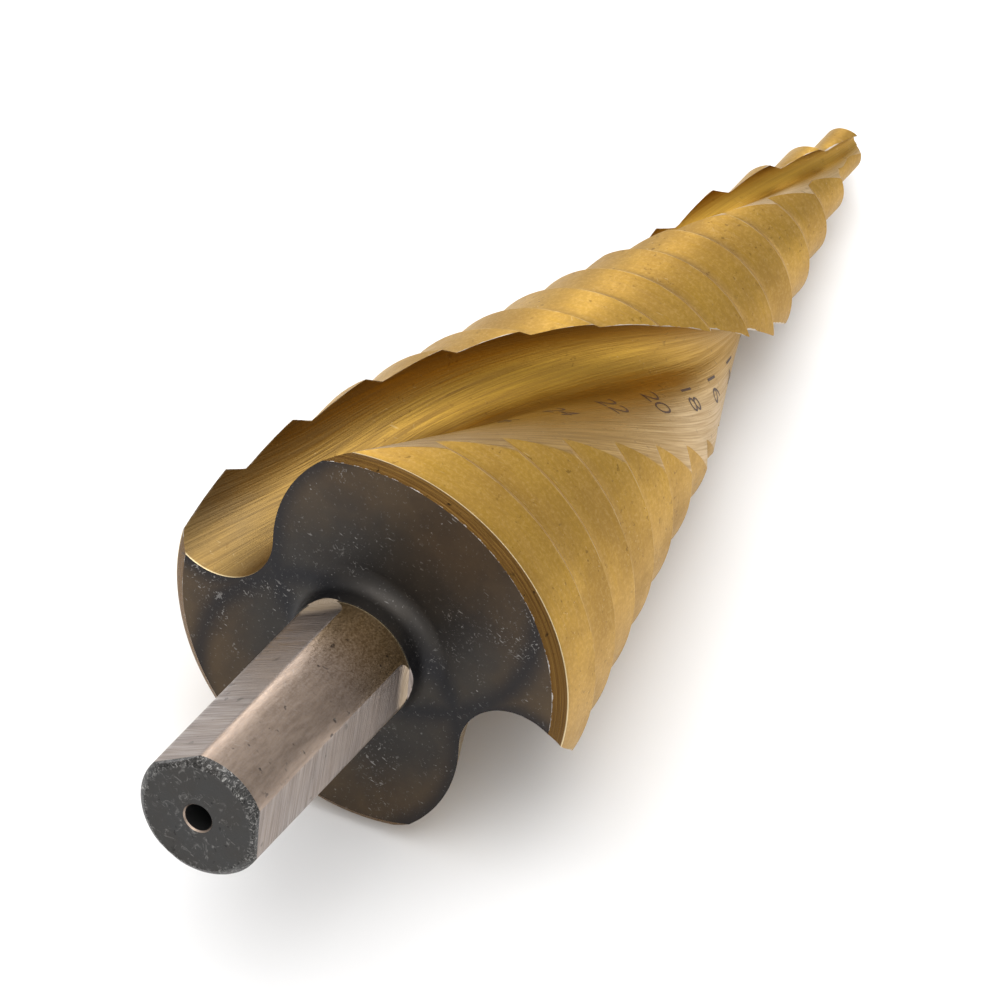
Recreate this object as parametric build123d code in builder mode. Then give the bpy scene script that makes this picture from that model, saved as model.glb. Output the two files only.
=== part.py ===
"""Step drill with two spiral flutes, fifteen relieved steps and a three-flat shank.

The drill is turned and ground from one bar, so it is one solid. It is drawn upright on its own axis,
with the rim of the largest step in the plane Z = 0, the tip up and the shank down, and is then laid
down as it rests on a table: on the heel of its first step and on a step further along.
All sizes are in millimetres and all angles in degrees.
"""

import os
from math import acos, atan2, cos, degrees, radians, sin, sqrt, tan

from build123d import *

os.makedirs("parts", exist_ok=True)

# Steps: fifteen diameters, from the largest at the shank to the smallest at the tip
largest_diameter = 32.0
smallest_diameter = 4.0
step_count = 15
first_step_length = 4.08
step_length = 5.0
riser_length = 1.3
rear_chamfer_depth = 1.0
rear_chamfer_length = 0.8

# Lands: each is ground off-centre, so that it clears the hole behind its cutting edge
land_span = 104.0
land_relief = 0.4

# Flutes: a hollow arc from the cutting edge and a full arc to the heel, as shares of the local radius.
# They open to their full span over a short way from the rim, and their lead shortens towards the tip
core_share = 0.541
hollow_share = 0.263
heel_share = 0.627
flute_span = 84.2
flute_span_at_rim = 80.6
flute_opening_length = 14.0
lead_at_rim = 163.6
lead_at_tip = 64.3
flute_stations = 12
flute_overrun = 1.5
guard_share = 1.6

# Point
point_angle = 118.0
chisel_width = 0.2

# Shank
shank_diameter = 9.9
shank_length = 24.4
shank_chamfer = 0.65
chamfer_crown = 0.07
neck_ledge = 0.08
neck_length = 2.5
root_fillet = 1.5
flat_count = 3
flat_depth = 0.46
flat_runout = 2.0
flat_overrun = 0.2
flat_from_edge = 45.2
centre_hole_diameter = 2.15
centre_hole_depth = 5.0
centre_hole_point = 118.0

# Rest: angle of a cutting edge from the side that lies down, and the step that touches with the heel
edge_at_rest = 104.7
heel_height = 3.2
heel_angle = 5.3
touching_step = 5


diameter_step = (largest_diameter - smallest_diameter) / (step_count - 1)


def step_radius(step):
    """Radius of a step at its cutting edge."""
    return (largest_diameter - step * diameter_step) / 2


def step_front(step):
    """Height of the front corner of a step."""
    return first_step_length + step * step_length


def cone_radius(height):
    """Radius at a height of the cone that passes through the front corners of all steps."""
    return (largest_diameter - (height - first_step_length) * diameter_step / step_length) / 2


def edge_angle(height):
    """Angle of a cutting edge at a height; the twist rate grows evenly from the rim to the tip."""
    growth = (1 / lead_at_tip - 1 / lead_at_rim) / (2 * step_front(step_count - 1))
    return edge_at_rest + 360 * (height / lead_at_rim + growth * height**2)


def opening_at(height):
    """Span of a flute at a height, from its cutting edge to where its full arc would meet the cone."""
    to_go = max(0, 1 - height / flute_opening_length)
    return flute_span - (flute_span - flute_span_at_rim) * to_go**2


def polar(radius, angle):
    """Point in the plane at a radius and an angle."""
    return Vector(radius * cos(radians(angle)), radius * sin(radians(angle)))


def arc_middle(centre, radius, start, end, turn):
    """Middle of the arc from start to end; turn is 1 anticlockwise and -1 clockwise."""
    first = degrees(atan2(start.Y - centre.Y, start.X - centre.X))
    last = degrees(atan2(end.Y - centre.Y, end.X - centre.X))
    sweep = ((last - first) * turn) % 360
    return centre + polar(radius, first + turn * sweep / 2)


def turned_plane(height, angle):
    """Level plane at a height, turned about the drill's axis."""
    return Plane.XY.offset(height).rotated((0, 0, angle))


def land_section(plane, radius, relief):
    """Two half discs slid past each other, which makes each land fall away behind its edge."""
    off_centre = relief / (2 * sin(radians(land_span / 2)))
    centred = radius - relief / 2
    with BuildSketch(plane) as section:
        with BuildLine():
            upper = CenterArc((-off_centre, 0), centred, 0, 180)
            lower = CenterArc((off_centre, 0), centred, 180, 180)
            Line(upper @ 1, lower @ 0)
            Line(lower @ 1, upper @ 0)
        make_face()
    return section.sketch


def flute_section(plane, radius, span):
    """What the grinding wheel removes at one height, with the cutting edge on the plane's X axis."""
    edge = polar(radius, 0)
    heel = polar(radius, span)
    hollow = hollow_share * radius
    full = heel_share * radius
    reach = core_share * radius + hollow
    hollow_angle = degrees(acos((reach**2 + radius**2 - hollow**2) / (2 * reach * radius)))
    hollow_centre = polar(reach, hollow_angle)
    to_heel = heel - hollow_centre
    along = ((hollow + full) ** 2 - full**2 + to_heel.length**2) / (2 * to_heel.length)
    aside = sqrt((hollow + full) ** 2 - along**2)
    forward = to_heel.normalized()
    full_centre = hollow_centre + forward * along + Vector(-forward.Y, forward.X) * aside
    meeting = hollow_centre + (full_centre - hollow_centre).normalized() * hollow
    guard = guard_share * radius
    with BuildSketch(plane) as section:
        with BuildLine():
            ThreePointArc(edge, arc_middle(hollow_centre, hollow, edge, meeting, -1), meeting)
            ThreePointArc(meeting, arc_middle(full_centre, full, meeting, heel, 1), heel)
            Polyline(heel, polar(guard, span), polar(guard, span / 2), polar(guard, 0), edge)
        make_face()
    return section.sketch


rear = -rear_chamfer_length
shank_radius = shank_diameter / 2
shank_end = rear - shank_length
point_height = (step_radius(step_count - 1) - chisel_width / 2) / tan(radians(point_angle / 2))
tip = step_front(step_count - 1) + point_height

# Stepped body: each land is a straight prism that ends in a sloping riser, the last one in the point
with BuildPart() as body:
    for step in range(step_count):
        low = rear if step == 0 else step_front(step - 1)
        high = step_front(step)
        land_turn = edge_angle((low + high) / 2) - land_span / 2 - 90
        extrude(land_section(turned_plane(low, land_turn), step_radius(step), land_relief), amount=high - low)
        front = land_section(turned_plane(high, land_turn), step_radius(step), land_relief)
        if step < step_count - 1:
            end = land_section(turned_plane(high + riser_length, land_turn), step_radius(step + 1), land_relief)
        else:
            end = land_section(turned_plane(tip, land_turn), chisel_width / 2, chisel_width / 4)
        loft([front, end], ruled=True)

# Rear chamfer: turned true to the axis, so that it narrows where the land falls away
with BuildPart() as chamfer_ring:
    chamfer_inner = largest_diameter / 2 - rear_chamfer_depth
    with BuildSketch(Plane.XZ):
        with BuildLine():
            Polyline(
                (chamfer_inner - rear_chamfer_depth, rear - rear_chamfer_length),
                (chamfer_inner + 2 * rear_chamfer_depth, rear + 2 * rear_chamfer_length),
                (chamfer_inner + 2 * rear_chamfer_depth, rear - rear_chamfer_length),
                close=True,
            )
        make_face()
    revolve(axis=Axis.Z)

# Flute cutter: the flute's section carried along the cone, turning and shrinking with it
with BuildPart() as flute:
    first_station = rear - flute_overrun
    spacing = (tip + flute_overrun - first_station) / (flute_stations - 1)
    stations = [first_station + station * spacing for station in range(flute_stations)]
    loft(
        [
            flute_section(turned_plane(height, edge_angle(height)), cone_radius(height), opening_at(height))
            for height in stations
        ]
    )

# Shank: ground round as far as a slightly thicker neck, with a crowned end chamfer and a root fillet
with BuildPart() as shank:
    neck_radius = shank_radius + neck_ledge
    ground_end = rear - neck_length
    with BuildSketch(Plane.XZ):
        with BuildLine():
            end_face = Line((0, shank_end), (shank_radius - shank_chamfer, shank_end))
            end_chamfer = SagittaArc(end_face @ 1, (shank_radius, shank_end + shank_chamfer), -chamfer_crown)
            side = Polyline(
                end_chamfer @ 1,
                (shank_radius, ground_end),
                (neck_radius, ground_end),
                (neck_radius, rear - root_fillet),
            )
            root = JernArc(side @ 1, (0, 1), root_fillet, -90)
            Polyline(root @ 1, (neck_radius + root_fillet, rear + root_fillet), (0, rear + root_fillet), end_face @ 0)
        make_face()
    revolve(axis=Axis.Z)

# Flat cutter: the side view of one flat with the wheel's run-out at its end
with BuildPart() as flat_cut:
    flat_height = shank_radius - flat_depth
    runout_reach = sqrt(flat_runout**2 - (flat_runout - flat_depth) ** 2)
    flat_end = ground_end + flat_overrun - runout_reach
    with BuildSketch(Plane.XZ):
        with BuildLine():
            flat_line = Line((flat_height, shank_end - shank_chamfer), (flat_height, flat_end))
            runout = JernArc(flat_line @ 1, (0, 1), flat_runout, -90)
            Polyline(
                runout @ 1,
                (shank_diameter, (runout @ 1).Y),
                (shank_diameter, shank_end - shank_chamfer),
                flat_line @ 0,
            )
        make_face()
    extrude(amount=shank_radius, both=True)

# Centre hole in the shank's end
with BuildPart() as centre_hole:
    hole_radius = centre_hole_diameter / 2
    hole_floor = shank_end + centre_hole_depth
    with BuildSketch(Plane.XZ):
        with BuildLine():
            Polyline(
                (0, shank_end),
                (hole_radius, shank_end),
                (hole_radius, hole_floor),
                (0, hole_floor + hole_radius / tan(radians(centre_hole_point / 2))),
                close=True,
            )
        make_face()
    revolve(axis=Axis.Z)

# Whole drill, upright
with BuildPart() as upright:
    add(body.part)
    add(chamfer_ring.part, mode=Mode.SUBTRACT)
    for turn in (0, 180):
        add(flute.part, rotation=(0, 0, turn), mode=Mode.SUBTRACT)
    add(shank.part)
    for flat in range(flat_count):
        flat_turn = edge_at_rest + flat_from_edge + flat * 360 / flat_count
        add(flat_cut.part, rotation=(0, 0, flat_turn), mode=Mode.SUBTRACT)
    add(centre_hole.part, mode=Mode.SUBTRACT)

# Lying down: the tip points to +X and is lowered by the slope between the two places that touch
heel_drop = (step_radius(0) - land_relief) * cos(radians(heel_angle)) - step_radius(touching_step)
rest_tilt = degrees(atan2(heel_drop, step_front(touching_step) - heel_height))
leaning = Location((0, 0, 0), (0, 1, 0), 90 + rest_tilt)
box = Compound(upright.edges()).moved(leaning).bounding_box()
seat = Location((-box.center().X, -box.center().Y, -box.min.Z))

with BuildPart() as step_drill:
    add(upright.part.moved(seat * leaning))

step_drill.part.label = "step_drill"
export_step(step_drill.part, "parts/step_drill.step")

print("length", round(tip - shank_end, 2), "tilt", round(rest_tilt, 2), "faces", len(step_drill.faces()))
print("volume", round(step_drill.part.volume, 1), "solids", len(step_drill.solids()))
print("seat", seat.position, "box", step_drill.part.bounding_box())
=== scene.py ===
"""Step drill with spiral flutes: its ground skin, its size marks, its finishes and its setting.

The skin is worked out on grids in the drill's own upright frame, with the rim of the largest step at
height zero and the tip up, and is then laid down as the drill rests: tip to +X, on its heel.
"""

import math
from functools import cached_property

import bmesh
import bpy
import numpy as np
from bpy.props import FloatProperty, FloatVectorProperty, IntProperty, PointerProperty
from mathutils import Matrix, Vector
from mathutils.geometry import tessellate_polygon


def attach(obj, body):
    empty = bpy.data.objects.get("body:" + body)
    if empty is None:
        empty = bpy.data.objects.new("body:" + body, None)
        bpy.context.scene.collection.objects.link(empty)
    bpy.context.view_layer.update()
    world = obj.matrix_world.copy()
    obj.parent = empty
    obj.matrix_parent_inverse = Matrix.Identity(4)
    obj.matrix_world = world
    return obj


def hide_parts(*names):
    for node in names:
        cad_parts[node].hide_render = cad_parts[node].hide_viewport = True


bl_info = {
    "name": "Step Drill",
    "version": (1, 0, 0),
    "blender": (4, 5, 0),
    "location": "View3D > Sidebar > Step Drill",
    "description": "Makes a step drill with spiral flutes, its size marks, finishes and setting",
    "category": "Add Mesh",
}

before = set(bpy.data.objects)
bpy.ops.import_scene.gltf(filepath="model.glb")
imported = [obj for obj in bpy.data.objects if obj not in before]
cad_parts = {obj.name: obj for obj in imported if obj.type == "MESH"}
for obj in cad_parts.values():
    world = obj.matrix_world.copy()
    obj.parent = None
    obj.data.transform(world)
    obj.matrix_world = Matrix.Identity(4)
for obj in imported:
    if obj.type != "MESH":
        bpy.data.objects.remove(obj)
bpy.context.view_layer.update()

MM = 0.001
CM = 10 * MM
LAND, FLUTE, CHAMFER, REAR, SHANK, FLAT, END, HOLE = range(8)

# Columns and rows of the skin's grids, how many points are tried along the flute's section, and how much
# closer together its columns are at both sides
FLUTE_COLUMNS = 44
LAND_COLUMNS = 72
FLAT_COLUMNS = 15
BAND_COLUMNS = 22
HOLE_COLUMNS = 97
CHAMFER_ROWS = 4
CROWN_ROWS = 6
SECTION_TRIES = 1200
COLUMN_EASING = 0.10

# Fine sizes of the skin: how far the rounding reaches at a land's corner, the rim and the centre hole's
# mouth, the hole's last ring, the slope of the neck's ledge, half of a flat's angle where it runs out, and
# the mesh's own limits
CORNER_ROUNDING = 0.07 * MM
RIM_ROUNDING = 0.12 * MM
HOLE_LIP = 0.10 * MM
HOLE_BOTTOM = 0.02 * MM
LEDGE_SLOPE = 0.02 * MM
LEAST_BORDER = math.radians(1.5)
SHARP_ANGLE = math.radians(28)
HEIGHT_MARGIN = 1e-9
LEAST_GAP = 1e-12
SEAM_GAP = 2e-6
SHORTEST_EDGE = 1e-7
HALF_TURN = np.array([-1.0, -1.0, 1.0])

# The lines in a flute are spread as on a flute of this radius, along its whole length
FLUTE_WIDTH = 12 * MM

# Size marks: type size, thinning and longest edge over the digits' height, spacing over plain type, how far
# the digits stand off the surface, and the step by which the surface's directions are measured
TYPE_SIZE = 1.38
TYPE_THINNING = 0.020
TYPE_SPACING = 0.86
LONGEST_EDGE = 0.2
MARK_LIFT = 0.012 * MM
TINY_STEP = 1e-5

# Stage: half of the floor's side, and the photo's camera in the drill's own frame
FLOOR_REACH = 3.0
PHOTO_TURN = math.radians(149.45)
CAMERA_RIGHT = (0.86361, 0.17337, 0.47341)
CAMERA_UP = (-0.09499, -0.86624, 0.49052)
CAMERA_BACK = (0.49513, -0.46859, -0.73162)
CAMERA_PLACE = (447.11 * MM, -423.48 * MM, -641.18 * MM)
SENSOR_WIDTH = 36.0


# Sizes and colours


def length(name, text, default):
    return FloatProperty(name=name, description=text, default=default * MM, unit="LENGTH", precision=5)


def share(name, text, default):
    return FloatProperty(name=name, description=text, default=default, min=0.0, max=2.0)


def number(name, text, default):
    return FloatProperty(name=name, description=text, default=default)


def count(name, text, default, least=0):
    return IntProperty(name=name, description=text, default=default, min=least)


def angle(name, text, default):
    return FloatProperty(name=name, description=text, default=math.radians(default), subtype="ANGLE")


def colour(name, text, default):
    options = {"size": 3, "min": 0.0, "max": 1.0, "subtype": "COLOR"}
    return FloatVectorProperty(name=name, description=text, default=default, **options)


class DrillSizes(bpy.types.PropertyGroup):
    largest_diameter: length("Largest diameter", "Cutting diameter of the first step", 32.0)
    smallest_diameter: length("Smallest diameter", "Cutting diameter of the last step", 4.0)
    step_count: count("Steps", "Number of diameters", 15, 2)
    first_step_length: length("First step length", "From the rim to the first step's front corner", 4.08)
    step_length: length("Step length", "From one step's front corner to the next", 5.0)
    riser_length: length("Riser length", "Length of the slope between two steps", 1.3)
    rear_chamfer_depth: length("Rear chamfer depth", "Radial size of the chamfer at the rim", 1.0)
    rear_chamfer_length: length("Rear chamfer length", "Axial size of the chamfer at the rim", 0.8)
    land_span: angle("Land span", "Angle from a land's cutting edge to its heel", 104.0)
    land_relief: length("Land relief", "How far a land falls away from its edge to its heel", 0.4)
    core_share: share("Core share", "Radius of the core, of the local radius", 0.541)
    hollow_share: share("Hollow share", "Radius of the flute's hollow arc, of the local radius", 0.263)
    heel_share: share("Heel share", "Radius of the flute's full arc, of the local radius", 0.627)
    flute_span: angle("Flute span", "Angle from a flute's cutting edge to its heel", 84.2)
    flute_span_at_rim: angle("Flute span at rim", "The same angle at the drill's rim", 80.6)
    opening_length: length("Opening length", "From the rim to where the flutes have their full span", 14.0)
    lead_at_rim: length("Lead at rim", "Length of a whole turn of the flutes at the rim", 163.6)
    lead_at_tip: length("Lead at tip", "Length of a whole turn of the flutes at the last step", 64.3)
    chisel_width: length("Chisel width", "Width of the point's chisel edge", 0.2)
    point_angle: angle("Point angle", "Angle of the drill's point", 118.0)
    edge_at_rest: angle("Edge at rest", "Angle of a cutting edge from the side that lies down", 104.7)


class ShankSizes(bpy.types.PropertyGroup):
    diameter: length("Diameter", "Across the shank's round bands", 9.9)
    length: length("Length", "From the end face to the drill's rear face", 24.4)
    end_chamfer: length("End chamfer", "Chamfer round the end face", 0.65)
    chamfer_crown: length("Chamfer crown", "How far the end chamfer bulges", 0.07)
    neck_ledge: length("Neck ledge", "How far the neck stands out from the ground shank", 0.08)
    neck_length: length("Neck length", "From the ground shank's end to the rear face", 2.5)
    root_fillet: length("Root fillet", "Radius between the neck and the rear face", 1.5)
    flat_count: count("Flats", "Number of flats", 3, 1)
    flat_depth: length("Flat depth", "Depth of each flat", 0.46)
    flat_runout: length("Flat run-out", "Radius where the grinding wheel leaves a flat", 2.0)
    flat_overrun: length("Flat overrun", "How far the flats reach past the ground shank", 0.2)
    flat_from_edge: angle("Flat from edge", "Angle from a cutting edge to the first flat", 45.2)
    hole_diameter: length("Hole diameter", "Centre hole in the end face", 2.15)
    hole_depth: length("Hole depth", "Depth of the centre hole's wall", 5.0)


class RestPlace(bpy.types.PropertyGroup):
    tilt: angle("Tilt", "How far the tip is lowered from level", 9.936)
    seat: FloatVectorProperty(
        name="Seat",
        description="Where the centre of the rim lies",
        default=(-24.2727 * MM, 0.0, 15.8637 * MM),
        subtype="TRANSLATION",
    )


class Finishes(bpy.types.PropertyGroup):
    coat: colour("Coating", "Gold-coloured coating on the lands", (0.475, 0.275, 0.040))
    coat_shade: colour("Shaded coating", "Soft darker patches in the coating", (0.345, 0.197, 0.036))
    coat_pale: colour("Pale coating", "Thin coating on the heel side of the flutes", (0.60, 0.44, 0.24))
    coat_brown: colour("Brown coating", "Brown streaks of the grinding lines", (0.21, 0.115, 0.03))
    # Also used as painted shade on the lands' risers and along the flutes' cutting edges
    coat_deep: colour("Deep coating", "Dark brown of deep lines and flecks", (0.10, 0.048, 0.014))
    coat_dull: colour("Dull coating", "Greyish brown of the flutes' rear ends", (0.15, 0.108, 0.058))
    # Also used as painted highlight: thin lines at the steps' front corners and at the ground shank's end
    worn: colour("Worn edge", "Thin coating on worn edges", (0.82, 0.68, 0.42))
    bare_steel: colour("Bare steel", "Steel where the coating has worn off", (0.62, 0.60, 0.57))
    rear_brown: colour("Rear face brown", "Heat-stained brown of the rear face", (0.088, 0.060, 0.035))
    rear_grey: colour("Rear face grey", "Dark grey of the rear face", (0.044, 0.039, 0.034))
    rear_dark: colour("Rear face dark", "Blue-black beside the flutes' ends", (0.018, 0.018, 0.021))
    shank_steel: colour("Shank steel", "Satin steel of the shank's round bands", (0.37, 0.285, 0.225))
    shank_shade: colour("Shank shade", "Darker streaks on the round bands", (0.16, 0.115, 0.085))
    flat_steel: colour("Flat steel", "Ground steel of the shank's flats", (0.36, 0.31, 0.285))
    flat_shade: colour("Flat shade", "Darker lines on the shank's flats", (0.17, 0.14, 0.125))
    end_steel: colour("End steel", "Dark steel of the end face", (0.045, 0.044, 0.043))
    hole_dark: colour("Centre hole", "Dark inside of the centre hole", (0.02, 0.02, 0.02))
    pit_brown: colour("Brown pits", "Near black flecks on the rear chamfer", (0.01, 0.008, 0.006))
    pit_black: colour("Black pits", "Near black dents in the end face", (0.01, 0.01, 0.01))
    mark: colour("Marks", "Dark brown of the size marks", (0.06, 0.025, 0.010))


class MarkPlaces(bpy.types.PropertyGroup):
    digit_height: length("Digit height", "Height of the marks' digits", 1.9)
    widening: share("Widening", "Width of the digits over that of plain type", 1.12)
    first_mark: count("First mark", "Number of the first marked step", 0)
    last_mark: count("Last mark", "Number of the last marked step", 11)
    before_front: length("Before front", "From a mark's middle to its step's front corner", 2.4)
    along_section: share("Along section", "Where the marks lie along the flute's section", 0.93)


class Setting(bpy.types.PropertyGroup):
    floor_colour: colour("Floor", "Plain pale floor", (0.84, 0.84, 0.84))
    key_power: number("Key light", "Power of the large overhead light", 5.5)
    fill_power: number("Fill light", "Power of the side light", 2.0)
    rim_power: number("Rim light", "Power of the light beyond the tip", 3.0)
    world_strength: number("Surround", "Strength of the surround overhead", 1.0)
    horizon_strength: number("Horizon", "Strength of the surround's sides", 0.5)
    lens: number("Lens", "Focal length in mm on a 36 mm sensor", 449.1)


# Shape of the drill


def diameter_step(sizes):
    """The whole range of diameters, shared evenly among the steps."""
    return (sizes.largest_diameter - sizes.smallest_diameter) / (sizes.step_count - 1)


def step_radius(sizes, step):
    """Half of the largest diameter less the step's number times the diameter step."""
    return (sizes.largest_diameter - step * diameter_step(sizes)) / 2


def step_front(sizes, step):
    """The first step's length and then one step length for each further step."""
    return sizes.first_step_length + step * sizes.step_length


def cone_radius(sizes, height):
    """Radius of the cone through the steps' front corners, which shrinks evenly with height."""
    climb = (height - sizes.first_step_length) / sizes.step_length
    return (sizes.largest_diameter - climb * diameter_step(sizes)) / 2


def edge_angle(sizes, height):
    """Angle of a cutting edge: the turns for each metre, one over the lead, grow evenly from the rim to the
    last step's front."""
    top = step_front(sizes, sizes.step_count - 1)
    growth = (1 / sizes.lead_at_tip - 1 / sizes.lead_at_rim) / (2 * top)
    return sizes.edge_at_rest + 2 * math.pi * (height / sizes.lead_at_rim + growth * height**2)


def opening_at(sizes, height):
    """Angle from a cutting edge to the heel: the full span less the square of what is left of the opening
    length, so that it reaches the full span smoothly."""
    to_go = np.maximum(0, 1 - height / sizes.opening_length)
    return sizes.flute_span - (sizes.flute_span - sizes.flute_span_at_rim) * to_go**2


def directions(turns):
    """Level directions of length one at given angles: the cosine for x and the sine for y."""
    return np.stack([np.cos(turns), np.sin(turns)], axis=-1)


def around_axis(radii, turns, heights):
    """Points at given radii and angles about the axis, by the cosine and the sine, and at given heights."""
    x, y = radii * np.cos(turns), radii * np.sin(turns)
    return np.stack([x, y, np.broadcast_to(heights, x.shape)], axis=-1)


class FluteSection:
    """The flute's section at each height for a local radius of one, with the cutting edge on the X axis: a
    hollow arc that touches the core's circle, then a full arc that meets it in tangent and ends at the
    heel."""

    def __init__(self, sizes, spans):
        self.hollow, self.full = sizes.hollow_share, sizes.heel_share
        hollow, full = self.hollow, self.full
        reach = sizes.core_share + hollow
        turn = math.acos((reach**2 + 1 - hollow**2) / (2 * reach))
        self.centre = reach * np.array([math.cos(turn), math.sin(turn)])
        heel = directions(spans)
        to_heel = heel - self.centre
        span = np.linalg.norm(to_heel, axis=-1, keepdims=True)
        forward = to_heel / span
        along = ((hollow + full) ** 2 - full**2 + span**2) / (2 * span)
        aside = np.sqrt((hollow + full) ** 2 - along**2)
        left = np.stack([-forward[:, 1], forward[:, 0]], axis=-1)
        self.full_centre = self.centre + forward * along + left * aside
        outward = (self.full_centre - self.centre) / (hollow + full)
        to_edge = np.array([1.0, 0.0]) - self.centre
        from_full = heel - self.full_centre
        self.first = math.atan2(to_edge[1], to_edge[0])
        met = np.arctan2(outward[:, 1], outward[:, 0])
        self.second = met + math.pi
        self.hollow_length = (hollow * ((self.first - met) % (2 * math.pi)))[:, None]
        last = np.arctan2(from_full[:, 1], from_full[:, 0])
        self.length = self.hollow_length + (full * ((last - self.second) % (2 * math.pi)))[:, None]

    def at(self, along):
        """Radius and angle of the points at distances along the section: on each arc the angle about its
        centre changes by the distance over the arc's radius."""
        turn = self.first - along / self.hollow
        further = self.second[:, None] + (along - self.hollow_length) / self.full
        hollow = self.centre + self.hollow * directions(turn)
        full = self.full_centre[:, None] + self.full * directions(further)
        x, y = np.moveaxis(np.where((along < self.hollow_length)[..., None], hollow, full), -1, 0)
        return np.hypot(x, y), np.arctan2(y, x)


def land_radius(sizes, radius, turn, angles):
    """Radius of a relieved land at given angles: two half discs slid past each other by the relief, so that
    each half's circle has its centre a little to one side of the axis."""
    slide = sizes.land_relief / (2 * math.sin(sizes.land_span / 2))
    slide = np.minimum(slide, radius / 2)
    disc = radius - np.minimum(sizes.land_relief, radius / 2) / 2
    local = (angles - turn) % (2 * math.pi)
    side = np.where(local < math.pi, -slide, slide)
    return side * np.cos(local) + np.sqrt(disc**2 - (side * np.sin(local)) ** 2)


def point_length(sizes):
    """What the last step's radius loses on the way to the chisel edge, over the tangent of half the point's
    angle."""
    lost = step_radius(sizes, sizes.step_count - 1) - sizes.chisel_width / 2
    return lost / math.tan(sizes.point_angle / 2)


def ground_radius(sizes, heights, angles):
    """Radius of the stepped body before the flutes are ground: at each height the larger of the step's own
    relieved land and the slope that comes down to it from the step behind."""
    outer = np.zeros(np.broadcast_shapes(heights.shape, angles.shape))
    rear = -sizes.rear_chamfer_length
    last = sizes.step_count - 1
    for step in range(sizes.step_count):
        low = rear if step == 0 else step_front(sizes, step - 1)
        high = step_front(sizes, step)
        turn = edge_angle(sizes, (low + high) / 2) - sizes.land_span / 2 - math.pi / 2
        here = land_radius(sizes, step_radius(sizes, step), turn, angles)
        if step < last:
            there = land_radius(sizes, step_radius(sizes, step + 1), turn, angles)
            slope = sizes.riser_length
        else:
            there = np.full_like(here, sizes.chisel_width / 2)
            slope = point_length(sizes)
        down = np.clip((heights - high) / slope, 0, 1)
        sloped = here + (there - here) * down
        reaches = (heights >= low - HEIGHT_MARGIN) & (heights <= high + slope + HEIGHT_MARGIN)
        outer = np.where(reaches, np.maximum(outer, sloped), outer)
    chamfer_inner = sizes.largest_diameter / 2 - sizes.rear_chamfer_depth
    grade = sizes.rear_chamfer_depth / sizes.rear_chamfer_length
    return np.minimum(outer, chamfer_inner + (heights - rear) * grade)


def ring_heights(sizes):
    """Heights of the rings: close together on each slope, evenly spread on each land, and a pair at each
    front corner, which rounds it a little."""
    land_end = sizes.first_step_length - CORNER_ROUNDING
    heights = [np.linspace(-sizes.rear_chamfer_length, 0.0, CHAMFER_ROWS + 1)]
    heights.append(np.linspace(RIM_ROUNDING, land_end, 9))
    for step in range(sizes.step_count - 1):
        corner = step_front(sizes, step)
        land_start, land_end = corner + sizes.riser_length, corner + sizes.step_length - CORNER_ROUNDING
        heights.append(corner + sizes.riser_length * np.linspace(0, 1, 4))
        heights.append(np.linspace(land_start, land_end, 10)[1:])
    heights.append(step_front(sizes, sizes.step_count - 1) + point_length(sizes) * np.linspace(0, 1, 8))
    return np.concatenate(heights)


def drill_rings(sizes):
    """Rings of half the drill's section, from a cutting edge down its flute and over the next land. The
    flute runs where its curve lies inside the ground body, and its columns are a little closer together at
    both sides. Returns the flute's and the land's points, each as rings by columns by x, y, z, and the
    distances along the flute's section, which stay the same along each grinding line."""
    heights = ring_heights(sizes)
    column = heights[:, None]
    turn = edge_angle(sizes, column)
    cone = cone_radius(sizes, column)
    section = FluteSection(sizes, opening_at(sizes, heights))
    tries = section.length * np.linspace(0, 1, SECTION_TRIES)
    radii, angles = section.at(tries)
    beyond = cone * radii - ground_radius(sizes, column, turn + angles)
    inside = beyond < 0
    some = inside.any(axis=1)
    deepest = radii.argmin(axis=1)
    rows = np.arange(len(heights))
    start = np.where(some, inside.argmax(axis=1), deepest)
    stop = np.where(some, SECTION_TRIES - 1 - inside[:, ::-1].argmax(axis=1), deepest)
    last_cut = np.flatnonzero(some)[-1]
    start[~some], stop[~some] = start[last_cut], stop[last_cut]

    def crossing(index, step):
        """Where the section crosses the ground body between a try and its neighbour, by even shares."""
        other = np.clip(index + step, 0, SECTION_TRIES - 1)
        here, there = beyond[rows, index], beyond[rows, other]
        part = np.where((there > 0) & (here < 0), here / np.minimum(here - there, -LEAST_GAP), 0)
        return (tries[rows, index] + part * (tries[rows, other] - tries[rows, index]))[:, None]

    first, last = crossing(start, -1), crossing(stop, 1)
    even = np.linspace(0, 1, FLUTE_COLUMNS)
    eased = even - COLUMN_EASING * np.sin(2 * math.pi * even) / (2 * math.pi)
    along = first + (last - first) * eased
    flute_radius, flute_angle = section.at(along)
    flute_angle = turn + flute_angle
    flute_radius = np.minimum(cone * flute_radius, ground_radius(sizes, column, flute_angle))
    heel, edge = flute_angle[:, -1:], flute_angle[:, :1] + math.pi
    land_angle = heel + (edge - heel) * np.linspace(0, 1, LAND_COLUMNS)
    land_radii = ground_radius(sizes, column, land_angle)
    land_radii[:, 0] = flute_radius[:, -1]
    land_radii[:, -1] = flute_radius[:, 0]
    flute = around_axis(flute_radius, flute_angle, column)
    return flute, around_axis(land_radii, land_angle, column), along * FLUTE_WIDTH


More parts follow.
